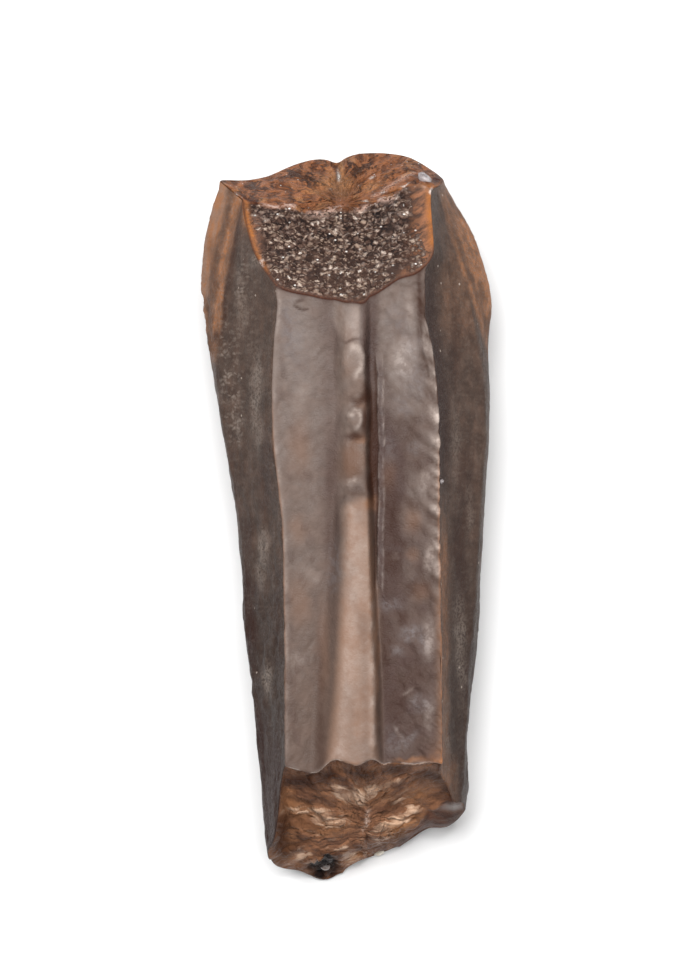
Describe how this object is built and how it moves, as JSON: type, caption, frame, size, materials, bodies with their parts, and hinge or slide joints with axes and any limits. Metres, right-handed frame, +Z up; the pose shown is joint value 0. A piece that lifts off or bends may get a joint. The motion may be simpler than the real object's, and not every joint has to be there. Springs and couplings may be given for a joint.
{
  "type": "fossil hadrosaur tooth",
  "caption": "Fossil hadrosaur tooth lying on its back: a long enamel face with a median ridge, a worn crown end and a broken root end.",
  "frame": {"origin": "on the surface that the tooth rests on, under the middle of its box", "axes": "+Y towards the crown end, along the tooth; +Z up, out of the enamel face; +X to the right of the enamel face with the crown end away"},
  "size_m": [0.0146, 0.037, 0.0116],
  "materials": {
    "fossil_tooth": "satin, mineralised dentine and enamel"
  },
  "bodies": {
    "root": {"tooth": "fossil_tooth"}
  },
  "joints": []
}
